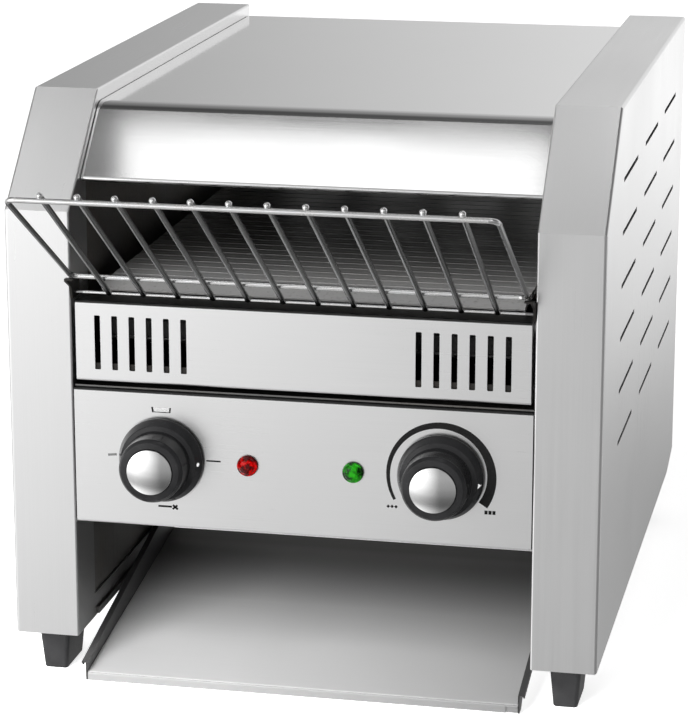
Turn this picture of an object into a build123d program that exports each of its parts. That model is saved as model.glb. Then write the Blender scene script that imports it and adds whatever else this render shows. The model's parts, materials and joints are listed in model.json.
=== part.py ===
from build123d import *
from math import acos, atan2, cos, hypot, pi, radians, sin, tan
import os

os.makedirs("parts", exist_ok=True)

# Conveyor toaster for a countertop. Millimetres, +Z up, +X to the user's right, user at -Y.
# Depths are measured back from the front plane of the two side columns, heights from the counter.

# ---------------------------------------------------------------- driving dimensions
body_width = 368.0
column_width = 41.2
body_depth = 460.0
foot_height = 28.0
shoulder_height = 300.0
top_height = 364.5
top_front_depth = 66.4
sheet = 1.0
clearance = 0.5

opening_half = body_width / 2 - column_width
inner_half = opening_half - clearance
frame_face = opening_half + 1.2
frame_thickness = 1.2

gland_reach = 476.0

# conveyor: plate slats on eight-pocket sprockets
slat_pitch = 14.0
slat_width = 12.0
slat_length = 264.0
slat_thickness = 1.2
slats_per_turn = 8
slats_per_run = 24
pitch_radius = slats_per_turn * slat_pitch / (2 * pi)
belt_top = 250.0
front_axis_depth = 42.0
rear_axis_depth = front_axis_depth + slats_per_run * slat_pitch
axis_height = belt_top - slat_thickness - pitch_radius
shaft_radius = 5.0

# panels and knobs
control_low = 103.8
control_high = 190.3
vent_low = 194.5
vent_high = 245.2
vent_half = 140.6
vent_depth = 1.2
knob_x = 87.0
knob_height = 147.6
lamp_x = 32.9
lamp_height = 146.8

# feed rack: places are (depth, height) of wire centres
rack_half = 139.2
rack_wire = 1.6
rod_wire = 1.75
rack_top = (-127.3, 333.5)
rack_rest = (-10.5, 263.3)
rack_pivot = (4.0, 249.9)
pivot_wire = 1.0
rod_pitch = 21.72
rod_count = 12
tip_radius = 2.0
rod_lift = 3.0
rack_angle = atan2(rack_top[1] - rack_rest[1], rack_rest[0] - rack_top[0])
rod_tip = (rack_top[0] + rod_lift * sin(rack_angle), rack_top[1] + rod_lift * cos(rack_angle))

# the front plane is placed so that the whole part is centred on Y = 0
rack_reach = rack_wire - rack_top[0]
front_y = (rack_reach - gland_reach) / 2

# collecting tray
tray_inner_half = 136.6
tray_front = -4.6
tray_rear = 205.0
tray_front_floor = 6.2
tray_slope = 0.137
tray_side_slope = 0.211

# feet
foot_x = 163.1
foot_depths = (31.0, 395.0)

# drive
gear_module = 1.5
gear_teeth = 40
pinion_teeth = 16
pinion_direction = radians(224.4)
gear_distance = gear_module * (gear_teeth + pinion_teeth) / 2
pinion_depth = rear_axis_depth + gear_distance * cos(pinion_direction)
pinion_height = axis_height + gear_distance * sin(pinion_direction)

upper_element_depths = (120.0, 205.0, 290.0)
lower_element_depths = (130.0, 210.0, 290.0)
upper_element_height = 302.0
element_radius = 3.5

fan_depth = 180.0
fan_height = 147.0
gland_x = 105.0
gland_height = 88.0

# ---------------------------------------------------------------- planes and helpers
side_plane = Plane(origin=(0, front_y, 0), x_dir=(0, 1, 0), z_dir=(1, 0, 0))
front_plane = Plane(origin=(0, front_y, 0), x_dir=(1, 0, 0), z_dir=(0, -1, 0))


def level(height):
    """A horizontal plane whose sketch axes are X and depth."""
    return Plane(origin=(0, front_y, height), x_dir=(1, 0, 0), z_dir=(0, 0, 1))


def save(part, name):
    """Label a finished piece and write it as its own STEP file."""
    part.label = name
    export_step(part, "parts/" + name + ".step")


def sheet_section(points, bends, thickness=sheet):
    """The section of a bent sheet: the path is its outer face, the metal lies to the right of it."""
    with BuildSketch(Plane.XY, mode=Mode.PRIVATE) as section:
        with BuildLine():
            FilletPolyline(*points, radius=bends)
            offset(amount=thickness, side=Side.RIGHT)
        make_face()
    return section.sketch_local


def turned(points, x, height):
    """A turned piece about a line parallel to Y; points are (radius, depth)."""
    axis_plane = Plane(origin=(x, front_y, height), x_dir=(1, 0, 0), z_dir=(0, 0, 1))
    with BuildPart() as piece:
        with BuildSketch(axis_plane):
            with BuildLine():
                Polyline(*points, close=True)
            make_face()
        revolve(axis=Axis((x, 0, height), (0, 1, 0)))
    return piece


# ---------------------------------------------------------------- side panels (column covers)
def column_outline():
    """The side view of a column."""
    with BuildSketch(Plane.XY, mode=Mode.PRIVATE) as outline:
        with BuildLine():
            Polyline(
                (0, foot_height),
                (0, shoulder_height),
                (top_front_depth, top_height),
                (body_depth, top_height),
                (body_depth, foot_height + 8.8),
                (body_depth - 39, foot_height),
                close=True,
            )
        make_face()
    return outline.sketch_local


def side_panel(sign):
    """A folded cover: outer wall, front, slope, top, back and a return wall facing the opening."""
    outer_x = sign * body_width / 2
    inward = -sign
    return_depth = 36.0
    margin = 16.0
    slope = (top_height - shoulder_height) / top_front_depth
    slope_drop = margin / cos(atan2(slope, 1))
    corner_height = shoulder_height - slope_drop + slope * return_depth
    corner_depth = (top_height - margin - shoulder_height + slope_drop) / slope
    with BuildPart() as panel:
        with BuildSketch(side_plane.offset(outer_x)):
            add(column_outline())
        extrude(amount=inward * column_width)
        fillet(panel.edges().group_by(Axis.X)[0 if sign < 0 else -1], radius=2.0)
        fillet(panel.edges().group_by(Axis.X)[-1 if sign < 0 else 0], radius=1.2)
        with BuildSketch(side_plane.offset(outer_x - sign * sheet)):
            add(column_outline())
            offset(amount=-sheet, mode=Mode.REPLACE)
        extrude(amount=inward * (column_width - 2 * sheet), mode=Mode.SUBTRACT)
        with BuildSketch(side_plane.offset(sign * (opening_half - sheet))):
            with BuildLine():
                Polyline(
                    (return_depth, foot_height + margin),
                    (return_depth, corner_height),
                    (corner_depth, top_height - margin),
                    (body_depth - margin, top_height - margin),
                    (body_depth - margin, foot_height + margin),
                    close=True,
                )
            make_face()
        extrude(amount=sign * 3 * sheet, mode=Mode.SUBTRACT)
        # cooling slots: three columns of six, level, with round ends
        with BuildSketch(side_plane.offset(outer_x + sign)):
            with Locations((240.5, 234.0)):
                with GridLocations(121.5, 33.4, 3, 6):
                    SlotOverall(78.0, 3.0)
        extrude(amount=inward * 3 * sheet, mode=Mode.SUBTRACT)
        # screw holes for the feet
        with BuildSketch(level(foot_height - sheet)):
            with Locations(*[(sign * foot_x, depth) for depth in foot_depths]):
                Circle(2.6)
        extrude(amount=3 * sheet, mode=Mode.SUBTRACT)
    return panel


for side_name, side_sign in (("left", -1), ("right", 1)):
    save(side_panel(side_sign).part, "side_panel_" + side_name)


# ---------------------------------------------------------------- side frames
motor_posts = ((318.0, 230.0), (318.0, 172.0), (372.0, 168.0))


def side_frame(sign):
    """The inner plate that carries shafts, elements and trays."""
    with BuildPart() as frame_plate:
        with BuildSketch(side_plane.offset(sign * frame_face)):
            with BuildLine():
                Polyline(
                    (6, foot_height + 2.2),
                    (6, shoulder_height - 4),
                    (68, 350),
                    (452, 350),
                    (452, 42),
                    (415, foot_height + 2.2),
                    close=True,
                )
            make_face()
            with Locations((front_axis_depth, axis_height), (rear_axis_depth, axis_height)):
                Circle(8.0, mode=Mode.SUBTRACT)
            with Locations(*[(depth, upper_element_height) for depth in upper_element_depths]):
                Circle(5.0, mode=Mode.SUBTRACT)
            with Locations(*[(depth, axis_height) for depth in lower_element_depths]):
                Circle(5.0, mode=Mode.SUBTRACT)
            if sign > 0:
                with Locations((fan_depth, fan_height)):
                    Circle(27.0, mode=Mode.SUBTRACT)
        extrude(amount=sign * frame_thickness)
    return frame_plate


for side_name, side_sign in (("left", -1), ("right", 1)):
    save(side_frame(side_sign).part, "side_frame_" + side_name)


# ---------------------------------------------------------------- base rails and feet
def base_rail(sign):
    """A channel inside the foot of a column that takes the foot screws."""
    rail_half = 18.4
    rail_x = sign * (frame_face + frame_thickness + 0.2 + rail_half)
    rail_low = foot_height + sheet
    with BuildPart() as rail:
        with BuildSketch(level(rail_low)):
            with Locations((rail_x, 209)):
                Rectangle(2 * rail_half, 400)
        extrude(amount=13)
        with BuildSketch(level(rail_low + 1.5)):
            with Locations((rail_x, 209)):
                Rectangle(2 * rail_half - 3, 402)
        extrude(amount=13, mode=Mode.SUBTRACT)
        with BuildSketch(level(rail_low - 1)):
            with Locations(*[(sign * foot_x, depth) for depth in foot_depths]):
                Circle(2.1)
        extrude(amount=4, mode=Mode.SUBTRACT)
    return rail


def foot(sign, depth):
    """A tapered rubber block with a counterbored screw hole."""
    with BuildPart() as block:
        with BuildSketch(level(0)):
            with Locations((sign * foot_x, depth)):
                RectangleRounded(15.0, 34.0, 2.5)
        with BuildSketch(level(foot_height)):
            with Locations((sign * foot_x, depth)):
                RectangleRounded(20.0, 39.0, 3.0)
        loft()
        fillet(block.faces().sort_by(Axis.Z)[0].edges(), radius=1.0)
        with BuildSketch(level(0)):
            with Locations((sign * foot_x, depth)):
                Circle(4.6)
        extrude(amount=10, mode=Mode.SUBTRACT)
        with BuildSketch(level(0)):
            with Locations((sign * foot_x, depth)):
                Circle(2.2)
        extrude(amount=foot_height, mode=Mode.SUBTRACT)
    return block


for side_name, side_sign in (("left", -1), ("right", 1)):
    save(base_rail(side_sign).part, "base_rail_" + side_name)
    for end_name, foot_depth in zip(("front", "rear"), foot_depths):
        save(foot(side_sign, foot_depth).part, "foot_" + end_name + "_" + side_name)

foot_places = [(sign * foot_x, depth) for sign in (-1, 1) for depth in foot_depths]
with BuildPart() as foot_screws:
    with BuildSketch(level(7.2)):
        with Locations(*foot_places):
            Circle(4.0)
    extrude(amount=2.7)
    with BuildSketch(level(9.0)):
        with Locations(*foot_places):
            Circle(2.0)
    extrude(amount=28)
save(foot_screws.part, "foot_screws")

# ---------------------------------------------------------------- top cover with the sloping hood
hood_edge = (22.3, 313.8)
cover_height = 356.5
column_slope = (top_height - shoulder_height) / top_front_depth
roll_depth = hood_edge[0] + (cover_height - hood_edge[1]) / column_slope
rear_panel_depth = 456.0
cover_rear = rear_panel_depth + 1.2

with BuildPart() as top_cover:
    with BuildSketch(side_plane.offset(-inner_half)):
        add(
            sheet_section(
                (
                    (hood_edge[0] + 13, hood_edge[1]),
                    hood_edge,
                    (roll_depth, cover_height),
                    (cover_rear, cover_height),
                    (cover_rear, 344.2),
                ),
                (2.0, 14.0, 2.0),
            )
        )
    extrude(amount=2 * inner_half)
save(top_cover.part, "top_cover")

# ---------------------------------------------------------------- rear panel
rear_low = 60.0
rear_high = 343.8
screw_places = [(x, z) for x in (-132.0, 132.0) for z in (78.0, 200.0, 330.0)]

with BuildPart() as rear_panel:
    with BuildSketch(front_plane.offset(-(rear_panel_depth - sheet))):
        with Locations((0, (rear_low + rear_high) / 2)):
            Rectangle(2 * inner_half, rear_high - rear_low)
    extrude(amount=-sheet)
    with BuildSketch(front_plane.offset(-(rear_panel_depth - 12))):
        with Locations((0, (rear_low + rear_high) / 2)):
            Rectangle(2 * inner_half, rear_high - rear_low)
            Rectangle(2 * (inner_half - sheet), rear_high - rear_low - 2 * sheet, mode=Mode.SUBTRACT)
    extrude(amount=-(12 - sheet / 2))
    with BuildSketch(front_plane.offset(-(rear_panel_depth + 1))):
        with Locations((0, 292)):
            with GridLocations(60, 12, 4, 5):
                SlotOverall(42, 4.0)
        with Locations((gland_x, gland_height)):
            Circle(7.6)
        with Locations(*screw_places):
            Circle(1.9)
    extrude(amount=3 * sheet, mode=Mode.SUBTRACT)
save(rear_panel.part, "rear_panel")

with BuildPart() as panel_screws:
    with BuildSketch(front_plane.offset(-(rear_panel_depth - 5))):
        with Locations(*screw_places):
            Circle(1.7)
    extrude(amount=-6)
    with BuildSketch(front_plane.offset(-rear_panel_depth)):
        with Locations(*screw_places):
            Circle(3.4)
    extrude(amount=-2.2, taper=12)
save(panel_screws.part, "panel_screws")

# ---------------------------------------------------------------- control panel and control box
with BuildPart() as control_panel:
    with BuildSketch(side_plane.offset(-inner_half)):
        add(
            sheet_section(
                ((18, control_low), (0.5, control_low), (0.5, control_high), (14, control_high)),
                (1.6, 1.6),
            )
        )
    extrude(amount=2 * inner_half)
    with BuildSketch(front_plane):
        with Locations((-knob_x, knob_height), (knob_x, knob_height)):
            Circle(4.5)
        with Locations((-lamp_x, lamp_height), (lamp_x, lamp_height)):
            Circle(5.0)
    extrude(amount=-4, mode=Mode.SUBTRACT)
save(control_panel.part, "control_panel")

box_rear = 232.0
with BuildPart() as control_box_floor:
    with BuildSketch(side_plane.offset(-inner_half)):
        add(sheet_section(((3, 106.0), (box_rear, 106.0), (box_rear, 186.0)), 2.0))
    extrude(amount=2 * inner_half)
save(control_box_floor.part, "control_box_floor")

with BuildPart() as heat_shield:
    with BuildSketch(side_plane.offset(-inner_half)):
        add(sheet_section(((3, 191.6), (box_rear + 3, 191.6), (box_rear + 3, 178.0)), 2.0))
    extrude(amount=2 * inner_half)
save(heat_shield.part, "heat_shield")

# ---------------------------------------------------------------- crumb drawer: vent panel and crumb tray
vent_slot_pitch = 10.86
vent_slot_x = 99.65
vent_slot_height = 219.2
vent_flange = 12.0

with BuildPart() as vent_panel:
    with BuildSketch(side_plane.offset(-vent_half)):
        add(
            sheet_section(
                (
                    (vent_depth + vent_flange, vent_low),
                    (vent_depth, vent_low),
                    (vent_depth, vent_high),
                    (20.5, vent_high),
                ),
                (1.6, 1.6),
            )
        )
    extrude(amount=2 * vent_half)
    for side_sign in (-1, 1):
        with BuildSketch(side_plane.offset(side_sign * vent_half)):
            with Locations((vent_depth + sheet / 2 + vent_flange / 2, (vent_low + vent_high) / 2)):
                Rectangle(vent_flange, vent_high - vent_low - sheet)
        extrude(amount=-side_sign * sheet)
    with BuildSketch(front_plane):
        for side_sign in (-1, 1):
            with Locations((side_sign * vent_slot_x, vent_slot_height)):
                with GridLocations(vent_slot_pitch, 1, 6, 1):
                    RectangleRounded(3.7, 34.0, 0.7)
    extrude(amount=-6, mode=Mode.SUBTRACT)
save(vent_panel.part, "vent_panel")

pan_low = 195.6
pan_high = 206.0
pan_front = 2.5
pan_rear = 372.0
pan_half = 136.0
pan_sheet = 0.8
pan_middle = (pan_front + pan_rear) / 2

with BuildPart() as crumb_tray:
    with BuildSketch(level(pan_low)):
        with Locations((0, pan_middle)):
            Rectangle(2 * pan_half, pan_rear - pan_front)
    extrude(amount=pan_high - pan_low)
    with BuildSketch(level(pan_low + pan_sheet)):
        with Locations((0, pan_middle)):
            Rectangle(2 * (pan_half - pan_sheet), pan_rear - pan_front - 2 * pan_sheet)
    extrude(amount=pan_high - pan_low, mode=Mode.SUBTRACT)
save(crumb_tray.part, "crumb_tray")

with BuildPart() as drawer_runners:
    for side_sign in (-1, 1):
        with BuildSketch(front_plane.offset(-40)):
            with Locations((side_sign * 135.9, 194.4)):
                Rectangle(15.8, 1.6)
            with Locations((side_sign * 143.2, 200.0)):
                Rectangle(1.2, 12.8)
        extrude(amount=-330)
save(drawer_runners.part, "drawer_runners")

# ---------------------------------------------------------------- toast path behind and below
with BuildPart() as toast_deflector:
    with BuildSketch(side_plane.offset(-inner_half)):
        add(
            sheet_section(((box_rear + 3, 112.0), (box_rear + 12, 112.0), (388.0, 190.0), (388.0, 204.0)), 4.0)
        )
    extrude(amount=2 * inner_half)
save(toast_deflector.part, "toast_deflector")

slide_half = 135.4
with BuildPart() as rear_slide:
    with BuildSketch(side_plane.offset(-slide_half)):
        add(sheet_section(((451, 240), (451, 118), (192, 41)), 85.0))
    extrude(amount=2 * slide_half)
save(rear_slide.part, "rear_slide")


# ---------------------------------------------------------------- collecting tray
def tray_floor_height(depth):
    return tray_front_floor + tray_slope * (depth - tray_front)


def tray_side_height(depth):
    return 12.4 + tray_side_slope * (depth - tray_front)


lip_low = 1.0
tray_outer_half = tray_inner_half + sheet
hem_half = 140.4

with BuildPart() as collecting_tray:
    # sloping floor with the lip along its front edge and a turned-down rear edge
    with BuildSketch(side_plane.offset(-tray_inner_half - 0.2)):
        add(
            sheet_section(
                (
                    (tray_front, lip_low),
                    (tray_front + 0.4, tray_front_floor),
                    (tray_rear, tray_floor_height(tray_rear)),
                    (tray_rear, tray_floor_height(tray_rear) - 8),
                ),
                (1.8, 1.6),
            )
        )
    extrude(amount=2 * (tray_inner_half + 0.2))
    # the lip stops short of the right side wall
    with BuildSketch(side_plane.offset(129)):
        with Locations((tray_front, lip_low + 1.4)):
            Rectangle(3, 4.4)
    extrude(amount=20, mode=Mode.SUBTRACT)
    for side_sign in (-1, 1):
        # side wall
        with BuildSketch(side_plane.offset(side_sign * tray_inner_half)):
            with BuildLine():
                Polyline(
                    (tray_front, lip_low),
                    (tray_front, tray_side_height(tray_front)),
                    (tray_rear, tray_side_height(tray_rear)),
                    (tray_rear, tray_floor_height(tray_rear) - 2),
                    (43, tray_floor_height(43) - 2),
                    (8, tray_floor_height(8) - 2),
                    (3, lip_low),
                    close=True,
                )
            make_face()
        extrude(amount=side_sign * sheet)
        # hem folded outwards along the top of the side wall, with a short drop
        hem_plane = side_plane.offset(side_sign * (tray_outer_half - 0.2))
        with BuildSketch(hem_plane):
            with BuildLine():
                Polyline(
                    (tray_front + 2, tray_side_height(tray_front + 2) - 0.9),
                    (tray_front, tray_side_height(tray_front)),
                    (tray_rear, tray_side_height(tray_rear)),
                    (tray_rear, tray_side_height(tray_rear) - 0.9),
                    close=True,
                )
            make_face()
        extrude(amount=side_sign * (hem_half - tray_outer_half + 0.2))
        drop_plane = side_plane.offset(side_sign * hem_half)
        with BuildSketch(drop_plane):
            with BuildLine():
                Polyline(
                    (tray_front + 3, tray_side_height(tray_front + 3) - 3.2),
                    (tray_front, tray_side_height(tray_front)),
                    (tray_rear, tray_side_height(tray_rear)),
                    (tray_rear, tray_side_height(tray_rear) - 3.2),
                    close=True,
                )
            make_face()
        extrude(amount=-side_sign * 0.8)
        # tab of the side wall folded round the front corner, behind the lip
        with BuildSketch(front_plane.offset(-(tray_front + 1.0))):
            with Locations((side_sign * (tray_outer_half - 5.4), lip_low + 2.2)):
                Rectangle(10.8, 4.4)
        extrude(amount=-0.8)
        # rear tab that rides on the guide rail
        with BuildSketch(level(34.4)):
            with Locations((side_sign * 139.65, 195)):
                Rectangle(5.5, 20)
        extrude(amount=1.0)
save(collecting_tray.part, "collecting_tray")

with BuildPart() as tray_guides:
    with BuildSketch(front_plane.offset(-38)):
        with Locations((-141.85, 32), (141.85, 32)):
            Rectangle(1.9, 4.2)
    extrude(amount=-180)
save(tray_guides.part, "tray_guides")

# ---------------------------------------------------------------- feed rack
# the rods lie over the top wire, pass under the rest wire and end at the pivot wire
rod_length = hypot(rack_pivot[0] - rod_tip[0], rod_tip[1] - rack_pivot[1])


def rack_point(x, place):
    """A point of the rack from its X and its (depth, height)."""
    return (x, front_y + place[0], place[1])


with BuildPart() as feed_rack:
    # closed wire loop with rounded corners
    with BuildLine() as loop:
        FilletPolyline(
            rack_point(-rack_half, rack_top),
            rack_point(rack_half, rack_top),
            rack_point(rack_half, rack_rest),
            rack_point(-rack_half, rack_rest),
            radius=5.0,
            close=True,
        )
    with BuildSketch(Plane(loop.line @ 0, z_dir=loop.line % 0)):
        Circle(rack_wire)
    sweep()
    # bottom wire, its ends turning in the brackets
    with BuildSketch(side_plane.offset(-opening_half + 0.3)):
        with Locations(rack_pivot):
            Circle(pivot_wire)
    extrude(amount=2 * opening_half - 0.6)
    for index in range(rod_count):
        rod_x = (index - (rod_count - 1) / 2) * rod_pitch
        with BuildLine() as rod:
            Line(rack_point(rod_x, rod_tip), rack_point(rod_x, rack_pivot))
        with BuildSketch(Plane(rod.line @ 0, z_dir=rod.line % 0)):
            Circle(rod_wire)
        extrude(amount=rod_length)
        with Locations(rack_point(rod_x, rod_tip)):
            Sphere(tip_radius)
save(feed_rack.part, "feed_rack")

with BuildPart() as rack_brackets:
    for side_sign in (-1, 1):
        with BuildSketch(side_plane.offset(side_sign * opening_half)):
            with BuildLine():
                Polyline(
                    (-12.5, 259.8),
                    (-12.5, 261.3),
                    (-2, 258),
                    (14, 256),
                    (14, 246.5),
                    (0, 246.5),
                    (-3, 254.5),
                    close=True,
                )
            make_face()
            with Locations(rack_pivot):
                Circle(pivot_wire + 0.06, mode=Mode.SUBTRACT)
        extrude(amount=-side_sign * 1.4)
        with BuildSketch(level(260.3)):
            with Locations((side_sign * 140.2, -10.5)):
                Rectangle(5.2, 4)
        extrude(amount=1.0)
save(rack_brackets.part, "rack_brackets")


# ---------------------------------------------------------------- conveyor belt
def slat_set(places):
    """Slats with turned-down ends; a place is (depth, height, tilt in degrees)."""
    spots = [Location((0, front_y + depth, height), (tilt, 0, 0)) for depth, height, tilt in places]
    with BuildPart() as slats:
        with Locations(*spots):
            Box(slat_length, slat_width, slat_thickness, align=(Align.CENTER, Align.CENTER, Align.MIN))
            for side_sign in (-1, 1):
                with Locations((side_sign * (slat_length / 2 - 0.6), 0, -1.4)):
                    Box(1.2, 8.6, 3.6)
    return slats


upper_places = [
    (front_axis_depth + (index + 0.5) * slat_pitch, axis_height + pitch_radius, 0)
    for index in range(slats_per_run)
]
lower_places = [(depth, axis_height - pitch_radius, 180) for depth, _, _ in upper_places]


def turn_places(centre_depth, direction):
    """The four slats that lie round a shaft, on its front (-1) or rear (1) side."""
    places = []
    for index in range(slats_per_turn // 2):
        angle = (index + 0.5) * 360 / slats_per_turn
        place_depth = centre_depth + direction * pitch_radius * sin(radians(angle))
        place_height = axis_height + pitch_radius * cos(radians(angle))
        places.append((place_depth, place_height, -direction * angle))
    return places


save(slat_set(upper_places).part, "belt_upper_run")
save(slat_set(lower_places).part, "belt_lower_run")
save(slat_set(turn_places(front_axis_depth, -1)).part, "belt_front_turn")
save(slat_set(turn_places(rear_axis_depth, 1)).part, "belt_rear_turn")


# ---------------------------------------------------------------- shafts, sprockets and bushes
def shaft(depth, x_low, x_high):
    """A round conveyor shaft with chamfered ends."""
    with BuildPart() as rod:
        with BuildSketch(side_plane.offset(x_low)):
            with Locations((depth, axis_height)):
                Circle(shaft_radius)
        extrude(amount=x_high - x_low)
        chamfer(rod.edges(), length=0.8)
    return rod


def sprocket_pair(depth):
    """Two drive wheels; each lug stands in the gap between two slats."""
    with BuildPart() as wheels:
        for wheel_x in (-110.0, 110.0):
            with BuildSketch(side_plane.offset(wheel_x - 3)):
                with Locations((depth, axis_height)):
                    Circle(17.3)
                    with PolarLocations(17.0, slats_per_turn, start_angle=90):
                        Rectangle(3.2, 1.0)
                    with PolarLocations(11.3, 6):
                        Circle(2.6, mode=Mode.SUBTRACT)
            extrude(amount=6)
            with BuildSketch(side_plane.offset(wheel_x - 8)):
                with Locations((depth, axis_height)):
                    Circle(8.0)
            extrude(amount=16)
        with BuildSketch(side_plane.offset(-130)):
            with Locations((depth, axis_height)):
                Circle(shaft_radius + 0.05)
        extrude(amount=260, mode=Mode.SUBTRACT)
    return wheels


save(shaft(front_axis_depth, -153.0, 153.0).part, "front_shaft")
save(shaft(rear_axis_depth, -155.2, 153.0).part, "rear_shaft")
save(sprocket_pair(front_axis_depth).part, "front_sprockets")
save(sprocket_pair(rear_axis_depth).part, "rear_sprockets")

axis_places = ((front_axis_depth, axis_height), (rear_axis_depth, axis_height))
with BuildPart() as shaft_bushes:
    for side_sign in (-1, 1):
        with BuildSketch(side_plane.offset(side_sign * (frame_face - 0.1))):
            with Locations(*axis_places):
                Circle(7.95)
        extrude(amount=side_sign * 1.4)
        with BuildSketch(side_plane.offset(side_sign * (frame_face + frame_thickness))):
            with Locations(*axis_places):
                Circle(10.5)
        extrude(amount=side_sign * 2.0)
        with BuildSketch(side_plane.offset(side_sign * 140)):
            with Locations(*axis_places):
                Circle(shaft_radius + 0.05)
        extrude(amount=side_sign * 20, mode=Mode.SUBTRACT)
save(shaft_bushes.part, "shaft_bushes")


# ---------------------------------------------------------------- gears and gear motor
def gear_points(teeth, first_tooth):
    """An involute outline, its teeth thinned for backlash; the first tooth points at first_tooth."""
    pitch = gear_module * teeth / 2
    base = pitch * cos(radians(20))
    root = pitch - 1.25 * gear_module
    tip = pitch + 0.9 * gear_module
    thinning = 0.12
    half_at_pitch = pi / (2 * teeth) - thinning / pitch

    def spread(radius):
        return tan(acos(base / radius)) - acos(base / radius)

    radii = [max(root, base) + (tip - max(root, base)) * step / 4 for step in range(5)]
    halves = [half_at_pitch + spread(pitch) - spread(radius) for radius in radii]
    points = []
    for index in range(teeth):
        middle = first_tooth + 2 * pi * index / teeth
        rising = [(root, middle - halves[0])]
        rising += [(radius, middle - half) for radius, half in zip(radii, halves)]
        falling = [(radius, middle + half) for radius, half in zip(radii[::-1], halves[::-1])]
        falling += [(root, middle + halves[0])]
        if root > base:
            rising = rising[1:]
            falling = falling[:-1]
        points += [(radius * cos(angle), radius * sin(angle)) for radius, angle in rising + falling]
    return points


with BuildPart() as drive_gear:
    with BuildSketch(side_plane.offset(-148.2)):
        with Locations((rear_axis_depth, axis_height)):
            Polygon(*gear_points(gear_teeth, pinion_direction + pi / gear_teeth), align=None)
            Circle(shaft_radius + 0.05, mode=Mode.SUBTRACT)
            with PolarLocations(17.5, 5):
                Circle(5.0, mode=Mode.SUBTRACT)
    extrude(amount=-5.5)
save(drive_gear.part, "drive_gear")

with BuildPart() as motor_pinion:
    with BuildSketch(side_plane.offset(-147.4)):
        with Locations((pinion_depth, pinion_height)):
            Polygon(*gear_points(pinion_teeth, pinion_direction + pi), align=None)
    extrude(amount=-7)
    with BuildSketch(side_plane.offset(-147.4)):
        with Locations((pinion_depth, pinion_height)):
            Circle(3.0)
    extrude(amount=-13.6)
save(motor_pinion.part, "motor_pinion")

with BuildPart() as gear_motor:
    with BuildSketch(side_plane.offset(-158.0)):
        with Locations((pinion_depth, pinion_height)):
            Circle(27.0)
            with PolarLocations(30.0, 2, start_angle=20):
                Circle(6.0)
    extrude(amount=-11)
    with BuildSketch(side_plane.offset(-169.0)):
        with Locations((pinion_depth, pinion_height)):
            Circle(24.0)
    extrude(amount=-12)
    fillet(gear_motor.faces().sort_by(Axis.X)[0].edges(), radius=2.0)
    with BuildSketch(side_plane.offset(-157.0)):
        with Locations((pinion_depth, pinion_height)):
            Circle(3.06)
    extrude(amount=-8, mode=Mode.SUBTRACT)
save(gear_motor.part, "gear_motor")

with BuildPart() as motor_bracket:
    with BuildSketch(side_plane.offset(-156.4)):
        with BuildLine():
            Polyline((310, 238), (328, 238), (382, 178), (382, 160), (310, 160), close=True)
        make_face()
        with Locations((pinion_depth, pinion_height)):
            Circle(8.0, mode=Mode.SUBTRACT)
    extrude(amount=-1.5)
    fillet(motor_bracket.edges().filter_by(Axis.X), radius=4.0)
    with BuildSketch(side_plane.offset(-frame_face - frame_thickness)):
        with Locations(*motor_posts):
            Circle(3.5)
    extrude(amount=-11.3)
save(motor_bracket.part, "motor_bracket")

# ---------------------------------------------------------------- heating elements and reflectors
upper_element_places = [(depth, upper_element_height) for depth in upper_element_depths]
lower_element_places = [(depth, axis_height) for depth in lower_element_depths]


def element_set(places):
    """Straight sheathed heating tubes with a terminal pin at each end."""
    with BuildPart() as tubes:
        with BuildSketch(side_plane.offset(-150)):
            with Locations(*places):
                Circle(element_radius)
        extrude(amount=300)
        with BuildSketch(side_plane.offset(-160)):
            with Locations(*places):
                Circle(1.5)
        extrude(amount=320)
    return tubes


save(element_set(upper_element_places).part, "upper_elements")
save(element_set(lower_element_places).part, "lower_elements")

with BuildPart() as element_insulators:
    for side_sign in (-1, 1):
        with BuildSketch(side_plane.offset(side_sign * (frame_face - 0.1))):
            with Locations(*(upper_element_places + lower_element_places)):
                Circle(4.9)
        extrude(amount=side_sign * 1.4)
        with BuildSketch(side_plane.offset(side_sign * (frame_face + frame_thickness))):
            with Locations(*(upper_element_places + lower_element_places)):
                Circle(7.0)
        extrude(amount=side_sign * 2.4)
        with BuildSketch(side_plane.offset(side_sign * 140)):
            with Locations(*(upper_element_places + lower_element_places)):
                Circle(element_radius + 0.1)
        extrude(amount=side_sign * 20, mode=Mode.SUBTRACT)
save(element_insulators.part, "element_insulators")

with BuildPart() as upper_reflector:
    with BuildSketch(side_plane.offset(-opening_half)):
        add(sheet_section(((78, 316), (92, 334), (326, 334), (340, 316)), 3.0))
    extrude(amount=2 * opening_half)
save(upper_reflector.part, "upper_reflector")

with BuildPart() as lower_reflector:
    with BuildSketch(side_plane.offset(-opening_half)):
        add(sheet_section(((86, 228), (96, 221), (324, 221), (334, 228)), 3.0))
    extrude(amount=2 * opening_half)
save(lower_reflector.part, "lower_reflector")


# ---------------------------------------------------------------- knobs, switches and lamps
def knob(x):
    """A stepped knob: bevelled skirt, barrel and cone, with a pocket for its cap."""
    profile = (
        (3.05, -1.6),
        (26.5, -1.6),
        (26.5, -3.2),
        (23.6, -9.6),
        (20.6, -10.2),
        (20.0, -25.5),
        (18.2, -28.0),
        (14.9, -28.4),
        (14.45, -28.4),
        (14.45, -26.4),
        (3.05, -26.4),
    )
    return turned(profile, x, knob_height)


def knob_cap(x):
    """The domed aluminium disc in the end of a knob."""
    profile = ((0, -26.5), (14.3, -26.5), (14.3, -29.2), (13.6, -30.0), (9.0, -30.8), (0, -31.1))
    return turned(profile, x, knob_height)


def spindle(x):
    """The spindle between a knob and its switch."""
    return turned(((0, -26.3), (3.0, -26.3), (3.0, 12.0), (0, 12.0)), x, knob_height)


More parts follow.
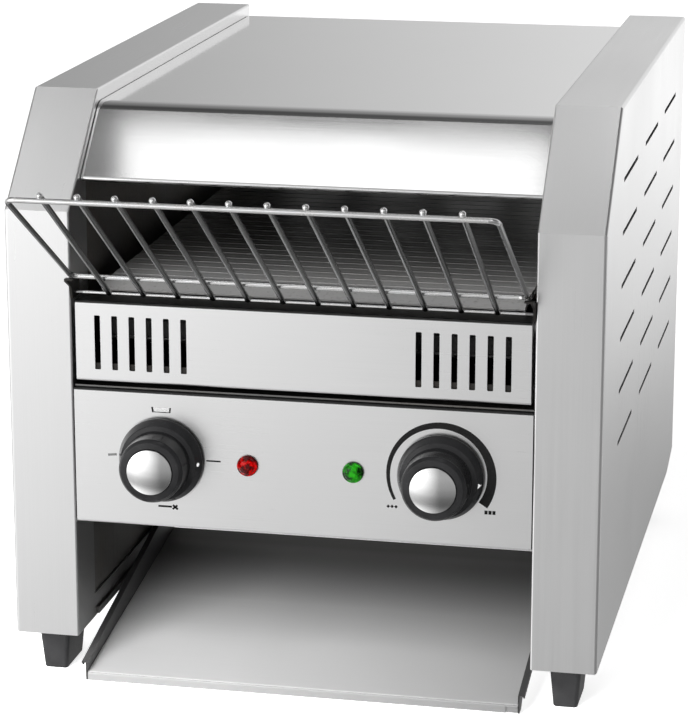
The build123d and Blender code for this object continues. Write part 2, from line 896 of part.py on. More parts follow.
save(knob(-knob_x).part, "mode_knob")
save(knob_cap(-knob_x).part, "mode_knob_cap")
save(spindle(-knob_x).part, "mode_spindle")
save(knob(knob_x).part, "speed_knob")
save(knob_cap(knob_x).part, "speed_knob_cap")
save(spindle(knob_x).part, "speed_spindle")

with BuildPart() as mode_switch:
    with BuildSketch(front_plane.offset(-1.7)):
        with Locations((-knob_x, knob_height)):
            Rectangle(32, 32)
    extrude(amount=-26)
    fillet(mode_switch.edges().filter_by(Axis.Y), radius=3.0)
    with BuildSketch(front_plane.offset(-27.7)):
        with Locations((-knob_x, knob_height)):
            with GridLocations(10, 16, 3, 2):
                Rectangle(1.0, 6.0)
    extrude(amount=-7)
    with BuildSketch(front_plane):
        with Locations((-knob_x, knob_height)):
            Circle(3.06)
    extrude(amount=-14, mode=Mode.SUBTRACT)
save(mode_switch.part, "mode_switch")

with BuildPart() as speed_potentiometer:
    with BuildSketch(front_plane.offset(-1.7)):
        with Locations((knob_x, knob_height)):
            Circle(12.0)
    extrude(amount=-13)
    with BuildSketch(front_plane.offset(-10.0)):
        with Locations((knob_x, knob_height - 13)):
            with GridLocations(5, 1, 3, 1):
                Rectangle(1.2, 9.0)
    extrude(amount=-0.8)
    with BuildSketch(front_plane):
        with Locations((knob_x, knob_height)):
            Circle(3.06)
    extrude(amount=-13, mode=Mode.SUBTRACT)
save(speed_potentiometer.part, "speed_potentiometer")


def pilot_lens(x):
    """A faceted jewel lens with a stem that passes through the panel."""
    with BuildPart() as lens:
        with BuildSketch(front_plane.offset(-0.4)):
            with Locations((x, lamp_height)):
                RegularPolygon(6.6, 12)
        extrude(amount=2.2)
        with BuildSketch(front_plane.offset(1.8)):
            with Locations((x, lamp_height)):
                RegularPolygon(6.2, 12)
        extrude(amount=2.6, taper=38)
        with BuildSketch(front_plane.offset(-0.4)):
            with Locations((x, lamp_height)):
                Circle(4.9)
        extrude(amount=-2.0)
    return lens


save(pilot_lens(-lamp_x).part, "pilot_lens_red")
save(pilot_lens(lamp_x).part, "pilot_lens_green")

with BuildPart() as pilot_lamp_bodies:
    with BuildSketch(front_plane.offset(-2.5)):
        with Locations((-lamp_x, lamp_height), (lamp_x, lamp_height)):
            Circle(6.6)
    extrude(amount=-18)
    with BuildSketch(front_plane.offset(-20.5)):
        with Locations((-lamp_x, lamp_height), (lamp_x, lamp_height)):
            with GridLocations(5, 1, 2, 1):
                Rectangle(0.8, 4.0)
    extrude(amount=-7)
save(pilot_lamp_bodies.part, "pilot_lamp_bodies")

# ---------------------------------------------------------------- electrical pieces in the control box
with BuildPart() as control_board:
    with BuildSketch(level(112.0)):
        with Locations((60, 120)):
            Rectangle(90, 64)
    extrude(amount=1.6)
    with BuildSketch(level(106.0)):
        with Locations((60, 120)):
            with GridLocations(80, 54, 2, 2):
                Circle(2.5)
    extrude(amount=6.2)
    with BuildSketch(level(113.6)):
        with Locations((38, 110)):
            Rectangle(26, 20)
        with Locations((70, 135)):
            Rectangle(14, 10)
    extrude(amount=16)
    with BuildSketch(level(113.6)):
        with Locations((84, 104), (84, 122), (60, 102)):
            Circle(5.0)
    extrude(amount=12)
save(control_board.part, "control_board")

with BuildPart() as terminal_block:
    with BuildSketch(level(106.0)):
        with Locations((-60, 190)):
            Rectangle(60, 22)
    extrude(amount=18)
    with BuildSketch(level(118.0)):
        with Locations((-60, 190)):
            with GridLocations(12, 12, 4, 2):
                Circle(2.2)
    extrude(amount=8, mode=Mode.SUBTRACT)
save(terminal_block.part, "terminal_block")

# ---------------------------------------------------------------- cooling fan
fan_outer = frame_face - 0.2
with BuildPart() as fan_housing:
    with BuildSketch(side_plane.offset(fan_outer)):
        with Locations((fan_depth, fan_height)):
            RectangleRounded(60, 60, 4)
            Circle(27.0, mode=Mode.SUBTRACT)
            with GridLocations(50, 50, 2, 2):
                Circle(2.0, mode=Mode.SUBTRACT)
    extrude(amount=-20)
    with BuildSketch(side_plane.offset(fan_outer - 17)):
        with Locations((fan_depth, fan_height)):
            Circle(11.0)
            with PolarLocations(18.0, 4, start_angle=45):
                Rectangle(20.0, 3.0)
    extrude(amount=-3)
    with BuildSketch(side_plane.offset(fan_outer - 20)):
        with Locations((fan_depth, fan_height)):
            Circle(1.55)
    extrude(amount=8, mode=Mode.SUBTRACT)
save(fan_housing.part, "fan_housing")

with BuildPart() as fan_rotor:
    with BuildSketch(side_plane.offset(fan_outer - 2)):
        with Locations((fan_depth, fan_height)):
            Circle(11.5)
    extrude(amount=-14)
    fillet(fan_rotor.faces().sort_by(Axis.X)[-1].edges(), radius=1.5)
    with BuildSketch(side_plane.offset(fan_outer - 19.5)):
        with Locations((fan_depth, fan_height)):
            Circle(1.5)
    extrude(amount=8)
    for blade in range(7):
        turn = blade * 360 / 7
        hub_place = Location((fan_outer - 9, front_y + fan_depth, fan_height), (turn, 0, 0))
        with Locations(hub_place):
            with Locations(Location((0, 0, 17.8), (0, 0, 35))):
                Box(12.5, 1.4, 14.6)
save(fan_rotor.part, "fan_rotor")

# ---------------------------------------------------------------- cable gland
with BuildPart() as cable_gland:
    with BuildSketch(front_plane.offset(-(rear_panel_depth - 10))):
        with Locations((gland_x, gland_height)):
            Circle(7.5)
    extrude(amount=-24)
    with BuildSketch(front_plane.offset(-rear_panel_depth)):
        with Locations((gland_x, gland_height)):
            RegularPolygon(12.0, 6)
    extrude(amount=-6)
    with BuildSketch(front_plane.offset(-(rear_panel_depth - sheet))):
        with Locations((gland_x, gland_height)):
            RegularPolygon(11.5, 6)
    extrude(amount=4)
    with BuildSketch(front_plane.offset(-(rear_panel_depth + 6))):
        with Locations((gland_x, gland_height)):
            Circle(10.0)
    extrude(amount=-(gland_reach - rear_panel_depth - 6), taper=8)
    with BuildSketch(front_plane.offset(-(gland_reach + 1))):
        with Locations((gland_x, gland_height)):
            Circle(4.0)
    extrude(amount=40, mode=Mode.SUBTRACT)
save(cable_gland.part, "cable_gland")
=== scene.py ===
"""Looks of the conveyor toaster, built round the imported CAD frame. Metres, +Z up, the user at -Y."""

import json
import math

import bmesh
import bpy
from mathutils import Matrix, Vector


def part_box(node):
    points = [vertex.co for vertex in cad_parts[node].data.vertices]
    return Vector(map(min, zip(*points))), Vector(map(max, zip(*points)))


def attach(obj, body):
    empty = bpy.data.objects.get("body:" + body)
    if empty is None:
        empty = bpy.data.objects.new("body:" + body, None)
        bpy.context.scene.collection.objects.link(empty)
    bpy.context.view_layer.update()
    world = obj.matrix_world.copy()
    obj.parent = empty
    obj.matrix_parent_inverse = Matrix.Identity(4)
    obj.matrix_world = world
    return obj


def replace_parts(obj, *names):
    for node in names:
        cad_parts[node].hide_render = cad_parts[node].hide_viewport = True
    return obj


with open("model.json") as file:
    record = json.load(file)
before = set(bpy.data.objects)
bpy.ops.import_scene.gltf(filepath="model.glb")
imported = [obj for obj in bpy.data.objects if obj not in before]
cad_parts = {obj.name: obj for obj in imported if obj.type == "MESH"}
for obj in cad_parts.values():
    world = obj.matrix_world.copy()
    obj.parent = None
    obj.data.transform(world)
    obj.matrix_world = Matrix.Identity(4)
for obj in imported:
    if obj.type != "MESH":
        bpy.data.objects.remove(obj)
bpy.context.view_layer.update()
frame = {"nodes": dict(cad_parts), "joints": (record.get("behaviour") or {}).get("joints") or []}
nodes = frame["nodes"]
joints = {joint["name"]: joint for joint in frame["joints"]}
MM = 0.001

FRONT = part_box("side_panel_left")[0].y


# ---------------------------------------------------------------- node helpers
def new_material(name):
    """A material with nodes, its node tree and its shader."""
    made = bpy.data.materials.new(name)
    made.use_nodes = True
    return made, made.node_tree, made.node_tree.nodes["Principled BSDF"]


def add_node(tree, kind, inputs=None, **settings):
    """A shader node with its settings and its unlinked inputs filled in."""
    node = tree.nodes.new(kind)
    for key, value in settings.items():
        setattr(node, key, value)
    for key, value in (inputs or {}).items():
        if isinstance(value, bpy.types.NodeSocket):
            tree.links.new(value, node.inputs[key])
        else:
            node.inputs[key].default_value = value
    return node


def place(tree):
    """The point's place in the row frame, which rides with the piece."""
    return add_node(tree, "ShaderNodeTexCoord").outputs["Object"]


def stretched_noise(tree, scale, detail=3.0, rough=0.6, source=None):
    """Noise whose grain is coarse along the axis with the small scale."""
    mapped = add_node(tree, "ShaderNodeMapping", {"Vector": source or place(tree), "Scale": scale})
    noise = add_node(
        tree,
        "ShaderNodeTexNoise",
        {"Vector": mapped.outputs[0], "Scale": 1.0, "Detail": detail, "Roughness": rough},
    )
    return noise.outputs["Fac"]


def remap(tree, value, low, high, from_low=0.3, from_high=0.7):
    """A value spread from one range to another, kept within it."""
    inputs = {"Value": value, "From Min": from_low, "From Max": from_high, "To Min": low, "To Max": high}
    return add_node(tree, "ShaderNodeMapRange", inputs).outputs["Result"]


def blend_colours(tree, factor, first, second, mode="MIX"):
    """A mix of two colours."""
    node = add_node(tree, "ShaderNodeMix", data_type="RGBA", blend_type=mode)
    for socket, value in ((node.inputs[0], factor), (node.inputs[6], first), (node.inputs[7], second)):
        if isinstance(value, bpy.types.NodeSocket):
            tree.links.new(value, socket)
        else:
            socket.default_value = value
    return node.outputs[2]


def maths(tree, operation, first, second=0.0):
    """The result of a math node."""
    node = add_node(tree, "ShaderNodeMath", operation=operation)
    for socket, value in ((node.inputs[0], first), (node.inputs[1], second)):
        if isinstance(value, bpy.types.NodeSocket):
            tree.links.new(value, socket)
        else:
            socket.default_value = value
    return node.outputs[0]


def grey(level, warmth=0.0):
    """A neutral colour, a little warm or cool."""
    return (level * (1 + warmth), level, level * (1 - warmth), 1.0)


def split(tree, vector):
    """The X, Y and Z of a vector."""
    return add_node(tree, "ShaderNodeSeparateXYZ", {"Vector": vector}).outputs


def facing(tree):
    """The way the surface faces, as X, Y and Z."""
    return split(tree, add_node(tree, "ShaderNodeTexCoord").outputs["Normal"])


def painted_shade(tree, colour, mask, share):
    """Painted shade: a colour brought down to a share of itself where the mask is one."""
    return blend_colours(tree, 1.0, colour, remap(tree, mask, 1.0, share, 0.0, 1.0), mode="MULTIPLY")


def bump(tree, shader, height, strength, distance):
    """Relief on a shader."""
    node = add_node(tree, "ShaderNodeBump", {"Height": height, "Strength": strength, "Distance": distance})
    tree.links.new(node.outputs["Normal"], shader.inputs["Normal"])


# ---------------------------------------------------------------- materials
GRAIN_FINE = 2600.0
GRAIN_LONG = 9.0
ALONG_X = (GRAIN_LONG, GRAIN_FINE, GRAIN_FINE)
ALONG_FOLD = (GRAIN_FINE, GRAIN_LONG, GRAIN_LONG)
ALONG_Z = (GRAIN_LONG, GRAIN_FINE, GRAIN_LONG)


def brushed_steel(
    name,
    level,
    grain,
    roughness=0.3,
    spread=0.05,
    side_grain=None,
    warmth=0.0,
    depth=0.035,
    metal=1.0,
    shading=None,
):
    """Satin stainless sheet: a fine straight grain, faint broad cloudiness and a soft sheen."""
    made, tree, shader = new_material(name)
    lines = stretched_noise(tree, grain)
    if side_grain:
        # faces that look sideways take their own grain direction
        other = stretched_noise(tree, side_grain)
        sideways = maths(tree, "GREATER_THAN", maths(tree, "ABSOLUTE", facing(tree)["X"]), 0.7)
        mixed = add_node(tree, "ShaderNodeMix", {0: sideways, 2: lines, 3: other})
        lines = mixed.outputs[0]
    clouds = stretched_noise(tree, (7.0, 7.0, 7.0), detail=2.0)
    tone = maths(tree, "ADD", remap(tree, lines, -0.5, 0.5), remap(tree, clouds, -0.5, 0.5))
    dark = grey(level * 0.975, warmth)
    light = grey(level * 1.025, warmth)
    colour = blend_colours(tree, remap(tree, tone, 0.0, 1.0, -1.0, 1.0), dark, light)
    # a shading function, where given, paints shade into the colour
    if shading:
        colour = shading(tree, colour)
    tree.links.new(colour, shader.inputs["Base Color"])
    rough = maths(
        tree,
        "ADD",
        remap(tree, lines, roughness - spread, roughness + spread),
        remap(tree, clouds, -0.02, 0.03),
    )
    tree.links.new(rough, shader.inputs["Roughness"])
    shader.inputs["Metallic"].default_value = metal
    bump(tree, shader, lines, depth, 0.00008)
    return made


def heated_steel(name, level, grain, tint, roughness=0.36, metal=1.0, shading=None):
    """Sheet that works hot: rougher, with straw and brown heat tint in soft patches."""
    made, tree, shader = new_material(name)
    lines = stretched_noise(tree, grain)
    patches = stretched_noise(tree, (13.0, 13.0, 13.0), detail=4.0, rough=0.55)
    specks = stretched_noise(tree, (420.0, 420.0, 420.0), detail=2.0)
    base = blend_colours(tree, remap(tree, patches, 0.0, tint), grey(level), (0.36, 0.27, 0.17, 1.0))
    soiled = blend_colours(tree, remap(tree, specks, 0.0, 0.35, 0.58, 0.75), base, (0.05, 0.04, 0.03, 1.0))
    # a shading function, where given, paints shade into the colour
    if shading:
        soiled = shading(tree, soiled)
    tree.links.new(soiled, shader.inputs["Base Color"])
    rough = maths(
        tree,
        "ADD",
        remap(tree, lines, roughness - 0.08, roughness + 0.08),
        remap(tree, patches, -0.05, 0.1),
    )
    tree.links.new(rough, shader.inputs["Roughness"])
    shader.inputs["Metallic"].default_value = metal
    bump(tree, shader, lines, 0.1, 0.0001)
    return made


def chrome(name, level=0.84, roughness=0.1, shading=None):
    """Bright plating with faint waviness and a few dull specks."""
    made, tree, shader = new_material(name)
    waves = stretched_noise(tree, (160.0, 160.0, 160.0), detail=2.0)
    specks = stretched_noise(tree, (900.0, 900.0, 900.0), detail=1.0)
    dull = remap(tree, specks, 0.0, 0.06, 0.6, 0.75)
    tree.links.new(
        maths(tree, "ADD", remap(tree, waves, roughness - 0.03, roughness + 0.04), dull),
        shader.inputs["Roughness"],
    )
    tint = blend_colours(tree, remap(tree, waves, 0.0, 1.0), grey(level, -0.01), grey(level * 0.93, 0.01))
    # a shading function, where given, paints shade into the colour
    if shading:
        tint = shading(tree, tint)
    tree.links.new(tint, shader.inputs["Base Color"])
    shader.inputs["Metallic"].default_value = 1.0
    bump(tree, shader, waves, 0.06, 0.0004)
    return made


def moulded(name, colour, roughness=0.42, grain=1500.0, relief=0.25, gloss=0.5):
    """Moulded plastic or rubber: fine pebbled skin, small changes of tone and of gloss."""
    made, tree, shader = new_material(name)
    skin = stretched_noise(tree, (grain, grain, grain), detail=2.0)
    clouds = stretched_noise(tree, (55.0, 55.0, 55.0), detail=3.0)
    dark = tuple(channel * 0.8 for channel in colour) + (1.0,)
    light = tuple(min(channel * 1.25 + 0.003, 1.0) for channel in colour) + (1.0,)
    colour = blend_colours(tree, remap(tree, clouds, 0.0, 1.0), dark, light)
    tree.links.new(colour, shader.inputs["Base Color"])
    rough = maths(
        tree,
        "ADD",
        remap(tree, clouds, roughness - 0.05, roughness + 0.06),
        remap(tree, skin, -0.03, 0.03),
    )
    tree.links.new(rough, shader.inputs["Roughness"])
    shader.inputs["Specular IOR Level"].default_value = gloss
    bump(tree, shader, skin, relief, 0.0001)
    return made


def spun_aluminium(name, centre, level=0.82):
    """A disc turned on a lathe: fine rings round its centre."""
    made, tree, shader = new_material(name)
    flat = add_node(
        tree,
        "ShaderNodeVectorMath",
        {0: place(tree), 1: (centre.x, 0.0, centre.z)},
        operation="SUBTRACT",
    )
    level_out = add_node(
        tree,
        "ShaderNodeVectorMath",
        {0: flat.outputs[0], 1: (1.0, 0.0, 1.0)},
        operation="MULTIPLY",
    )
    radius = add_node(tree, "ShaderNodeVectorMath", {0: level_out.outputs[0]}, operation="LENGTH")
    rings = add_node(
        tree,
        "ShaderNodeTexNoise",
        {"W": maths(tree, "MULTIPLY", radius.outputs["Value"], 4200.0), "Scale": 1.0, "Detail": 3.0},
        noise_dimensions="1D",
    ).outputs["Fac"]
    bright = grey(min(1.0, level * 1.06))
    colour = blend_colours(tree, remap(tree, rings, 0.0, 1.0), grey(level * 0.93), bright)
    tree.links.new(colour, shader.inputs["Base Color"])
    tree.links.new(remap(tree, rings, 0.1, 0.17), shader.inputs["Roughness"])
    shader.inputs["Metallic"].default_value = 1.0
    bump(tree, shader, rings, 0.03, 0.00002)
    return made


def tinted_lens(name, colour, deep):
    """A clear coloured lens, darker where it is thick."""
    made, tree, shader = new_material(name)
    swirl = stretched_noise(tree, (240.0, 240.0, 240.0), detail=2.0)
    tree.links.new(
        blend_colours(tree, remap(tree, swirl, 0.0, 1.0, 0.36, 0.56), colour, deep),
        shader.inputs["Base Color"],
    )
    tree.links.new(remap(tree, swirl, 0.06, 0.13), shader.inputs["Roughness"])
    shader.inputs["Transmission Weight"].default_value = 0.25
    shader.inputs["IOR"].default_value = 1.45
    shader.inputs["Specular IOR Level"].default_value = 0.16
    return made


def printed_ink(name, level):
    """Screen-printed ink with slightly uneven cover."""
    made, tree, shader = new_material(name)
    cover = stretched_noise(tree, (1800.0, 1800.0, 1800.0), detail=2.0)
    tree.links.new(
        blend_colours(tree, remap(tree, cover, 0.0, 1.0), grey(level * 0.8), grey(level * 1.15 + 0.004)),
        shader.inputs["Base Color"],
    )
    tree.links.new(remap(tree, cover, 0.45, 0.6), shader.inputs["Roughness"])
    shader.inputs["Specular IOR Level"].default_value = 0.05
    return made


def ceramic(name):
    """White steatite with faint grey speckle."""
    made, tree, shader = new_material(name)
    specks = stretched_noise(tree, (700.0, 700.0, 700.0), detail=3.0)
    tree.links.new(
        blend_colours(
            tree,
            remap(tree, specks, 0.0, 1.0, 0.5, 0.8),
            (0.86, 0.84, 0.78, 1),
            (0.6, 0.57, 0.5, 1),
        ),
        shader.inputs["Base Color"],
    )
    tree.links.new(remap(tree, specks, 0.35, 0.5), shader.inputs["Roughness"])
    bump(tree, shader, specks, 0.15, 0.0001)
    return made


def oxide(name):
    """The dark scale on a heating tube."""
    made, tree, shader = new_material(name)
    scale = stretched_noise(tree, (60.0, 500.0, 500.0), detail=5.0)
    tree.links.new(
        blend_colours(tree, remap(tree, scale, 0.0, 1.0), (0.05, 0.045, 0.042, 1), (0.21, 0.18, 0.155, 1)),
        shader.inputs["Base Color"],
    )
    tree.links.new(remap(tree, scale, 0.38, 0.62), shader.inputs["Roughness"])
    shader.inputs["Metallic"].default_value = 0.7
    bump(tree, shader, scale, 0.25, 0.0002)
    return made


def circuit_board(name):
    """Green solder mask over a fine pattern of tracks."""
    made, tree, shader = new_material(name)
    tracks = add_node(
        tree,
        "ShaderNodeTexBrick",
        {"Vector": place(tree), "Scale": 160.0, "Mortar Size": 0.03, "Color1": (0.03, 0.16, 0.07, 1)},
    )
    tracks.inputs["Color2"].default_value = (0.025, 0.12, 0.055, 1)
    tracks.inputs["Mortar"].default_value = (0.1, 0.26, 0.13, 1)
    tree.links.new(tracks.outputs["Color"], shader.inputs["Base Color"])
    shader.inputs["Roughness"].default_value = 0.3
    return made


def painted(name, colour):
    """Enamel paint with faint orange peel."""
    made, tree, shader = new_material(name)
    peel = stretched_noise(tree, (330.0, 330.0, 330.0), detail=2.0)
    dark = tuple(channel * 0.9 for channel in colour) + (1.0,)
    light = tuple(channel * 1.1 for channel in colour) + (1.0,)
    tree.links.new(blend_colours(tree, remap(tree, peel, 0.0, 1.0), dark, light), shader.inputs["Base Color"])
    tree.links.new(remap(tree, peel, 0.28, 0.4), shader.inputs["Roughness"])
    bump(tree, shader, peel, 0.15, 0.0003)
    return made


# bounds of the painted shade on the sheet metal, the rack wires and the belt
RETURN_WALL_X = 144.5 * MM
TRAY_MOUTH_Z = 103 * MM
OUTER_FADE_Z = (20 * MM, 220 * MM)
TRAY_FADE_Y = (FRONT + 105 * MM, FRONT + 190 * MM)
TRAY_FADE_X = (-0.05, 0.14)
TRAY_WALL_X = 136.4 * MM
ROD_PITCH = 21.72 * MM
ROD_RADIUS = 1.9 * MM
SIDE_WIRE_X = 136.0 * MM
TOP_WIRE_DEPTH = 3.6 * MM
REST_WIRE_Z = 261.8 * MM
REST_WIRE_Y = FRONT - 12.4 * MM
BELT_FADE_Y = (FRONT + 60 * MM, FRONT + 170 * MM)
BELT_FADE_Z = (236 * MM, 246 * MM)
FRAME_FADE_Z = (100 * MM, 110 * MM)


def column_shading(tree, colour):
    """Painted shade: the return walls beside the tray are darkened, and the outer walls a little towards the
    bottom.
    """
    spot = split(tree, place(tree))
    sideways = maths(tree, "GREATER_THAN", maths(tree, "ABSOLUTE", facing(tree)["X"]), 0.7)
    inner = maths(tree, "LESS_THAN", maths(tree, "ABSOLUTE", spot["X"]), RETURN_WALL_X)
    inner = maths(tree, "MULTIPLY", inner, maths(tree, "LESS_THAN", spot["Z"], TRAY_MOUTH_Z))
    colour = painted_shade(tree, colour, maths(tree, "MULTIPLY", sideways, inner), 0.55)
    low = remap(tree, spot["Z"], 1.0, 0.0, *OUTER_FADE_Z)
    return painted_shade(tree, colour, maths(tree, "MULTIPLY", sideways, low), 0.74)


def flange_shading(tree, colour):
    """Painted shade: the folded edges that face up, into the gap, are darkened nearly to black."""
    return painted_shade(tree, colour, maths(tree, "GREATER_THAN", facing(tree)["Z"], 0.1), 0.07)


def hood_shading(tree, colour):
    """Painted shade: the hidden lower face, which faces down, is darkened."""
    return painted_shade(tree, colour, maths(tree, "LESS_THAN", facing(tree)["Z"], -0.2), 0.3)


def tray_shading(tree, colour):
    """Painted shade: the floor darkens towards the inside and to the right; the side walls and the lip are
    darker still.
    """
    spot = split(tree, place(tree))
    colour = painted_shade(tree, colour, remap(tree, spot["Y"], 0.0, 1.0, *TRAY_FADE_Y), 0.2)
    colour = painted_shade(tree, colour, remap(tree, spot["X"], 0.0, 1.0, *TRAY_FADE_X), 0.6)
    wall = maths(tree, "GREATER_THAN", maths(tree, "ABSOLUTE", spot["X"]), TRAY_WALL_X)
    colour = painted_shade(tree, colour, wall, 0.14)
    return painted_shade(tree, colour, maths(tree, "LESS_THAN", facing(tree)["Y"], -0.6), 0.4)


def rack_shading(tree, colour):
    """Painted shade: the rods and the side wires are darker than the bright cross wires."""
    spot = split(tree, place(tree))
    count = maths(tree, "ADD", maths(tree, "DIVIDE", spot["X"], ROD_PITCH), 0.5)
    rod = maths(tree, "LESS_THAN", maths(tree, "PINGPONG", count, 0.5), ROD_RADIUS / ROD_PITCH)
    edge = maths(tree, "GREATER_THAN", maths(tree, "ABSOLUTE", spot["X"]), SIDE_WIRE_X)
    below_top = maths(tree, "GREATER_THAN", spot["Y"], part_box("feed_rack")[0].y + TOP_WIRE_DEPTH)
    above = maths(tree, "GREATER_THAN", spot["Z"], REST_WIRE_Z)
    rest_wire = maths(tree, "MULTIPLY", above, maths(tree, "GREATER_THAN", spot["Y"], REST_WIRE_Y))
    dull = maths(tree, "MULTIPLY", maths(tree, "MAXIMUM", rod, edge), below_top)
    return painted_shade(tree, colour, maths(tree, "SUBTRACT", dull, rest_wire), 0.4)


def belt_shading(tree, colour):
    """Painted shade: the belt darkens deeper into the tunnel and below the rim of the drawer front."""
    spot = split(tree, place(tree))
    colour = painted_shade(tree, colour, remap(tree, spot["Y"], 0.0, 1.0, *BELT_FADE_Y), 0.22)
    return painted_shade(tree, colour, remap(tree, spot["Z"], 1.0, 0.0, *BELT_FADE_Z), 0.15)


def frame_shading(tree, colour):
    """Painted shade: the frames are darker below the control box."""
    return painted_shade(tree, colour, remap(tree, split(tree, place(tree))["Z"], 1.0, 0.0, *FRAME_FADE_Z), 0.5)


MATERIALS = {
    "column_steel": brushed_steel(
        "column_steel", 0.82, ALONG_FOLD, 0.33, side_grain=ALONG_Z, shading=column_shading
    ),
    "panel_steel": brushed_steel("panel_steel", 0.86, ALONG_X, 0.32, shading=flange_shading),
    "hood_steel": brushed_steel(
        "hood_steel", 0.82, ALONG_X, 0.09, spread=0.015, depth=0.02, shading=hood_shading
    ),
    "tray_steel": brushed_steel("tray_steel", 0.96, ALONG_X, 0.45, metal=0.55, shading=tray_shading),
    "frame_steel": heated_steel("frame_steel", 0.42, ALONG_Z, 0.35, shading=frame_shading),
    "box_steel": heated_steel("box_steel", 0.2, ALONG_X, 0.12),
    "slide_steel": heated_steel("slide_steel", 0.36, ALONG_FOLD, 0.2, 0.34),
    "belt_steel": heated_steel("belt_steel", 0.52, ALONG_X, 0.08, 0.4, metal=0.72, shading=belt_shading),
    # dark_steel is near black as painted shade, so the crumb tray seen through the vent slots looks dark
    "dark_steel": heated_steel("dark_steel", 0.05, ALONG_X, 0.06, 0.5),
    "reflector_steel": heated_steel("reflector_steel", 0.4, ALONG_X, 0.5, 0.3),
    "machined_steel": brushed_steel("machined_steel", 0.58, (900.0, 900.0, 900.0), 0.3),
    "rack_chrome": chrome("rack_chrome", roughness=0.22, shading=rack_shading),
    "screw_zinc": chrome("screw_zinc", 0.66, 0.26),
    "bush_bronze": brushed_steel("bush_bronze", 0.5, (900.0, 900.0, 900.0), 0.36, warmth=0.35),
    "knob_black": moulded("knob_black", (0.009, 0.009, 0.0095), 0.22, 1400.0, 0.08, 0.16),
    "fitting_black": moulded("fitting_black", (0.022, 0.022, 0.024), 0.45, 1100.0, 0.3),
    "foot_rubber": moulded("foot_rubber", (0.02, 0.02, 0.021), 0.62, 900.0, 0.5, 0.35),
    "lens_red": tinted_lens("lens_red", (0.34, 0.0, 0.0, 1), (0.035, 0.0, 0.0, 1)),
    "lens_green": tinted_lens("lens_green", (0.01, 0.2, 0.004, 1), (0.0, 0.014, 0.0, 1)),
    "ceramic": ceramic("ceramic"),
    "element_oxide": oxide("element_oxide"),
    "board_green": circuit_board("board_green"),
    "motor_grey": painted("motor_grey", (0.13, 0.135, 0.14)),
    "ink_black": printed_ink("ink_black", 0.005),
    "ink_grey": printed_ink("ink_grey", 0.3),
    "ink_dark_grey": printed_ink("ink_dark_grey", 0.09),
    "ink_white": printed_ink("ink_white", 0.8),
}

NODE_MATERIALS = {
    "column_steel": ("side_panel_left", "side_panel_right"),
    "hood_steel": ("top_cover",),
    "panel_steel": ("control_panel", "vent_panel", "rear_panel"),
    "tray_steel": ("collecting_tray",),
    "frame_steel": (
        "side_frame_left",
        "side_frame_right",
        "base_rail_left",
        "base_rail_right",
        "motor_bracket",
    ),
    "box_steel": ("control_box_floor", "heat_shield", "drawer_runners", "tray_guides"),
    "dark_steel": ("crumb_tray", "rack_brackets"),
    "slide_steel": ("rear_slide", "toast_deflector"),
    "belt_steel": ("belt_upper_run", "belt_lower_run", "belt_front_turn", "belt_rear_turn"),
    "reflector_steel": ("upper_reflector", "lower_reflector"),
    "machined_steel": (
        "front_shaft",
        "rear_shaft",
        "front_sprockets",
        "rear_sprockets",
        "drive_gear",
        "motor_pinion",
        "mode_spindle",
        "speed_spindle",
    ),
    "rack_chrome": ("feed_rack",),
    "screw_zinc": ("foot_screws", "panel_screws"),
    "bush_bronze": ("shaft_bushes",),
    "knob_black": ("mode_knob", "speed_knob"),
    "fitting_black": (
        "cable_gland",
        "pilot_lamp_bodies",
        "mode_switch",
        "speed_potentiometer",
        "terminal_block",
        "fan_housing",
        "fan_rotor",
    ),
    "foot_rubber": ("foot_front_left", "foot_front_right", "foot_rear_left", "foot_rear_right"),
    "lens_red": ("pilot_lens_red",),
    "lens_green": ("pilot_lens_green",),
    "ceramic": ("element_insulators",),
    "element_oxide": ("upper_elements", "lower_elements"),
    "board_green": ("control_board",),
    "motor_grey": ("gear_motor",),
}


def wear(piece, made):
    """Gives a piece one material."""
    piece.data.materials.clear()
    piece.data.materials.append(made)


for material_name, node_names in NODE_MATERIALS.items():
    for node_name in node_names:
        wear(nodes[node_name], MATERIALS[material_name])

for cap_name in ("mode_knob_cap", "speed_knob_cap"):
    low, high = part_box(cap_name)
    MATERIALS[cap_name] = spun_aluminium(cap_name + "_spun", (low + high) / 2)
    wear(nodes[cap_name], MATERIALS[cap_name])


# ---------------------------------------------------------------- mesh helpers
def finish_mesh(made, name, material, body, smooth_angle=35.0):
    """Turns a bmesh into a piece that rides on a body."""
    bmesh.ops.recalc_face_normals(made, faces=made.faces)
    mesh = bpy.data.meshes.new(name)
    made.to_mesh(mesh)
    made.free()
    mesh.materials.append(MATERIALS[material])
    piece = bpy.data.objects.new(name, mesh)
    bpy.context.scene.collection.objects.link(piece)
    mesh.shade_smooth()
    mesh.set_sharp_from_angle(angle=math.radians(smooth_angle))
    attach(piece, body)
    return piece


def softened(points, setback, steps=5):
    """A closed outline with every corner rounded off; the setback is how far from the corner it starts."""
    outline = []
    for index, corner in enumerate(points):
        corner = Vector(corner)
        before = Vector(points[index - 1]) - corner
        after = Vector(points[(index + 1) % len(points)]) - corner
        reach = min(setback, before.length * 0.45, after.length * 0.45)
        start = corner + before.normalized() * reach
        end = corner + after.normalized() * reach
        for step in range(steps + 1):
            share = step / steps
            outline.append(start.lerp(corner, share).lerp(corner.lerp(end, share), share))
    return outline


def lathe(made, centre, outline, segments=128):
    """A ring turned about a line parallel to Y; the outline is (radius, depth) in millimetres."""
    rings = []
    for index in range(segments):
        angle = 2 * math.pi * index / segments
        ring = []
        for radius, depth in outline:
            x = centre.x + radius * MM * math.cos(angle)
            z = centre.z + radius * MM * math.sin(angle)
            ring.append(made.verts.new((x, FRONT + depth * MM, z)))
        rings.append(ring)
    for index, ring in enumerate(rings):
        following = rings[(index + 1) % segments]
        for step in range(len(outline)):
            after = (step + 1) % len(outline)
            made.faces.new((ring[step], following[step], following[after], ring[after]))


